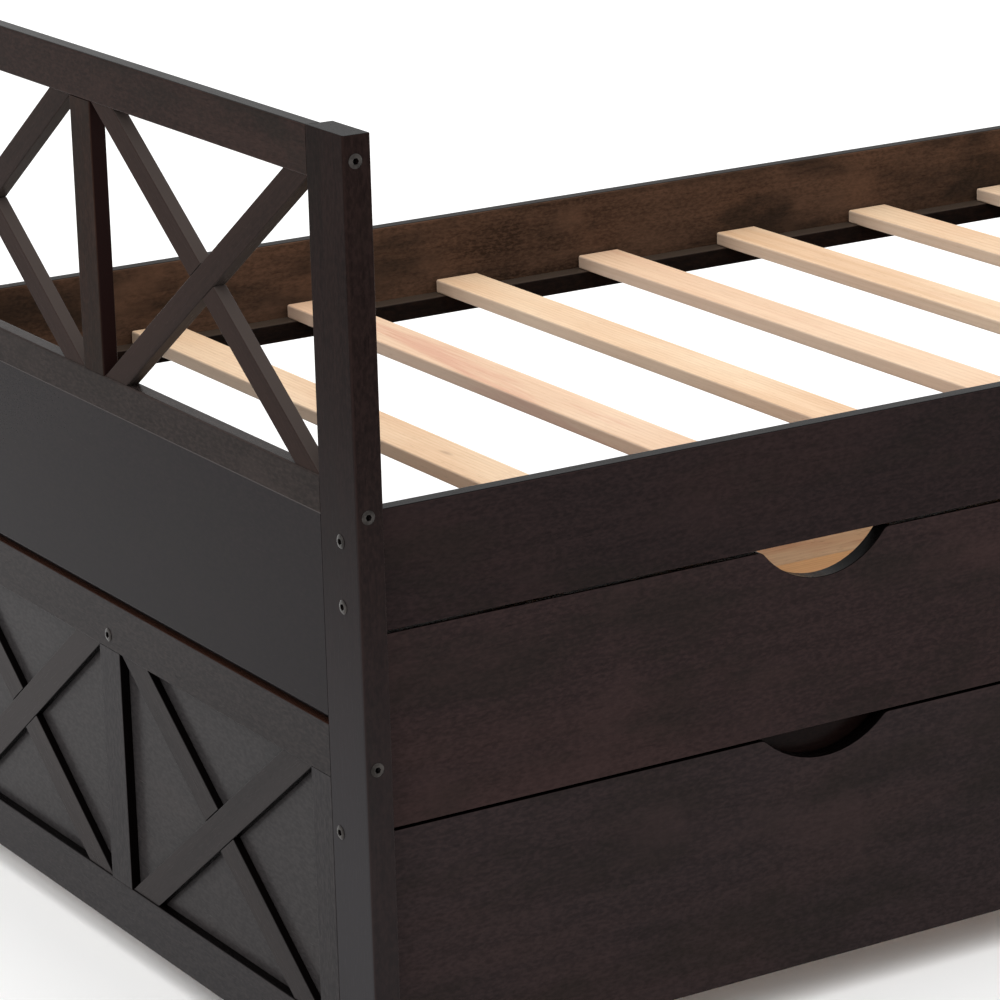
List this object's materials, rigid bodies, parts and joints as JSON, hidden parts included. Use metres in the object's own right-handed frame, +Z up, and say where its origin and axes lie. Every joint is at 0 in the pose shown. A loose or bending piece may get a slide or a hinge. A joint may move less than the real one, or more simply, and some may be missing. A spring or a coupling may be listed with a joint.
{
  "type": "trundle bed",
  "caption": "Daybed with X-braced end panels, slatted deck between low rails, side-by-side drawers with hand holds and a full-length pull-out trundle on wheels.",
  "frame": {"origin": "on the floor under the middle of the bed", "axes": "+X along the bed, +Y to the wall side, +Z up; drawers and trundle pull out towards -Y"},
  "size_m": [2.0592, 1.0772, 0.97],
  "materials": {
    "stained_frame": "satin espresso stain over fine grain",
    "stained_front": "satin espresso stain, slightly redder than the ends",
    "stained_back_rail": "thin espresso stain, blotchy brown",
    "stained_ledger": "espresso stain",
    "bare_pine": "bare planed pine with eased edges",
    "drawer_plywood": "bare thin plywood",
    "bolt_steel": "black oxide",
    "zinc_steel": "zinc plate",
    "wheel_plastic": "black moulded plastic"
  },
  "bodies": {
    "frame": {"back_rail": "stained_back_rail", "barrel_nuts": "zinc_steel", "bed_ledgers": "stained_ledger", "bed_slats": "bare_pine", "centre_stretcher": "stained_frame", "drawer_runners": "bare_pine", "frame_bolts": "bolt_steel", "front_rail": "stained_front", "front_stretcher": "stained_frame", "left_back_post": "stained_frame", "left_front_post": "stained_frame", "left_lower_bottom_rail": "stained_frame", "left_lower_end_stiles": "stained_frame", "left_lower_long_braces": "stained_frame", "left_lower_short_braces": "stained_frame", "left_lower_stile": "stained_frame", "left_lower_top_rail": "stained_frame", "left_middle_rail": "stained_frame", "left_recess_panel": "stained_frame", "left_top_rail": "stained_frame", "left_upper_long_braces": "stained_frame", "left_upper_panel": "stained_frame", "left_upper_short_braces": "stained_frame", "left_upper_stile": "stained_frame", "right_back_post": "stained_frame", "right_front_post": "stained_frame", "right_lower_bottom_rail": "stained_frame", "right_lower_end_stiles": "stained_frame", "right_lower_long_braces": "stained_frame", "right_lower_short_braces": "stained_frame", "right_lower_stile": "stained_frame", "right_lower_top_rail": "stained_frame", "right_middle_rail": "stained_frame", "right_recess_panel": "stained_frame", "right_top_rail": "stained_frame", "right_upper_long_braces": "stained_frame", "right_upper_panel": "stained_frame", "right_upper_short_braces": "stained_frame", "right_upper_stile": "stained_frame"},
    "left_drawer": {"left_drawer_back": "bare_pine", "left_drawer_bottom": "drawer_plywood", "left_drawer_front": "stained_front", "left_drawer_sides": "bare_pine"},
    "right_drawer": {"right_drawer_back": "bare_pine", "right_drawer_bottom": "drawer_plywood", "right_drawer_front": "stained_front", "right_drawer_sides": "bare_pine"},
    "trundle": {"trundle_back": "stained_frame", "trundle_corner_blocks": "bare_pine", "trundle_ends": "stained_frame", "trundle_front": "stained_front", "trundle_ledgers": "bare_pine", "trundle_slats": "bare_pine", "wheel_brackets": "zinc_steel", "wheel_axles": "zinc_steel"},
    "back_left_wheel": {"back_left_wheel": "wheel_plastic"},
    "back_right_wheel": {"back_right_wheel": "wheel_plastic"},
    "front_left_wheel": {"front_left_wheel": "wheel_plastic"},
    "front_right_wheel": {"front_right_wheel": "wheel_plastic"}
  },
  "joints": [
    {"name": "left_drawer_slide", "type": "slide", "parent": "frame", "child": "left_drawer", "axis": [0, -1, 0], "range_m": [0, 0.3]},
    {"name": "right_drawer_slide", "type": "slide", "parent": "frame", "child": "right_drawer", "axis": [0, -1, 0], "range_m": [0, 0.3]},
    {"name": "trundle_slide", "type": "slide", "parent": "frame", "child": "trundle", "axis": [0, -1, 0], "range_m": [0, 1]},
    {"name": "back_left_wheel_spin", "type": "hinge", "parent": "trundle", "child": "back_left_wheel", "pos_m": [-0.944, 0.462, 0.025], "axis": [1, 0, 0], "continuous": true},
    {"name": "back_right_wheel_spin", "type": "hinge", "parent": "trundle", "child": "back_right_wheel", "pos_m": [0.944, 0.462, 0.025], "axis": [1, 0, 0], "continuous": true},
    {"name": "front_left_wheel_spin", "type": "hinge", "parent": "trundle", "child": "front_left_wheel", "pos_m": [-0.944, -0.4655, 0.025], "axis": [1, 0, 0], "continuous": true},
    {"name": "front_right_wheel_spin", "type": "hinge", "parent": "trundle", "child": "front_right_wheel", "pos_m": [0.944, -0.4655, 0.025], "axis": [1, 0, 0], "continuous": true}
  ]
}
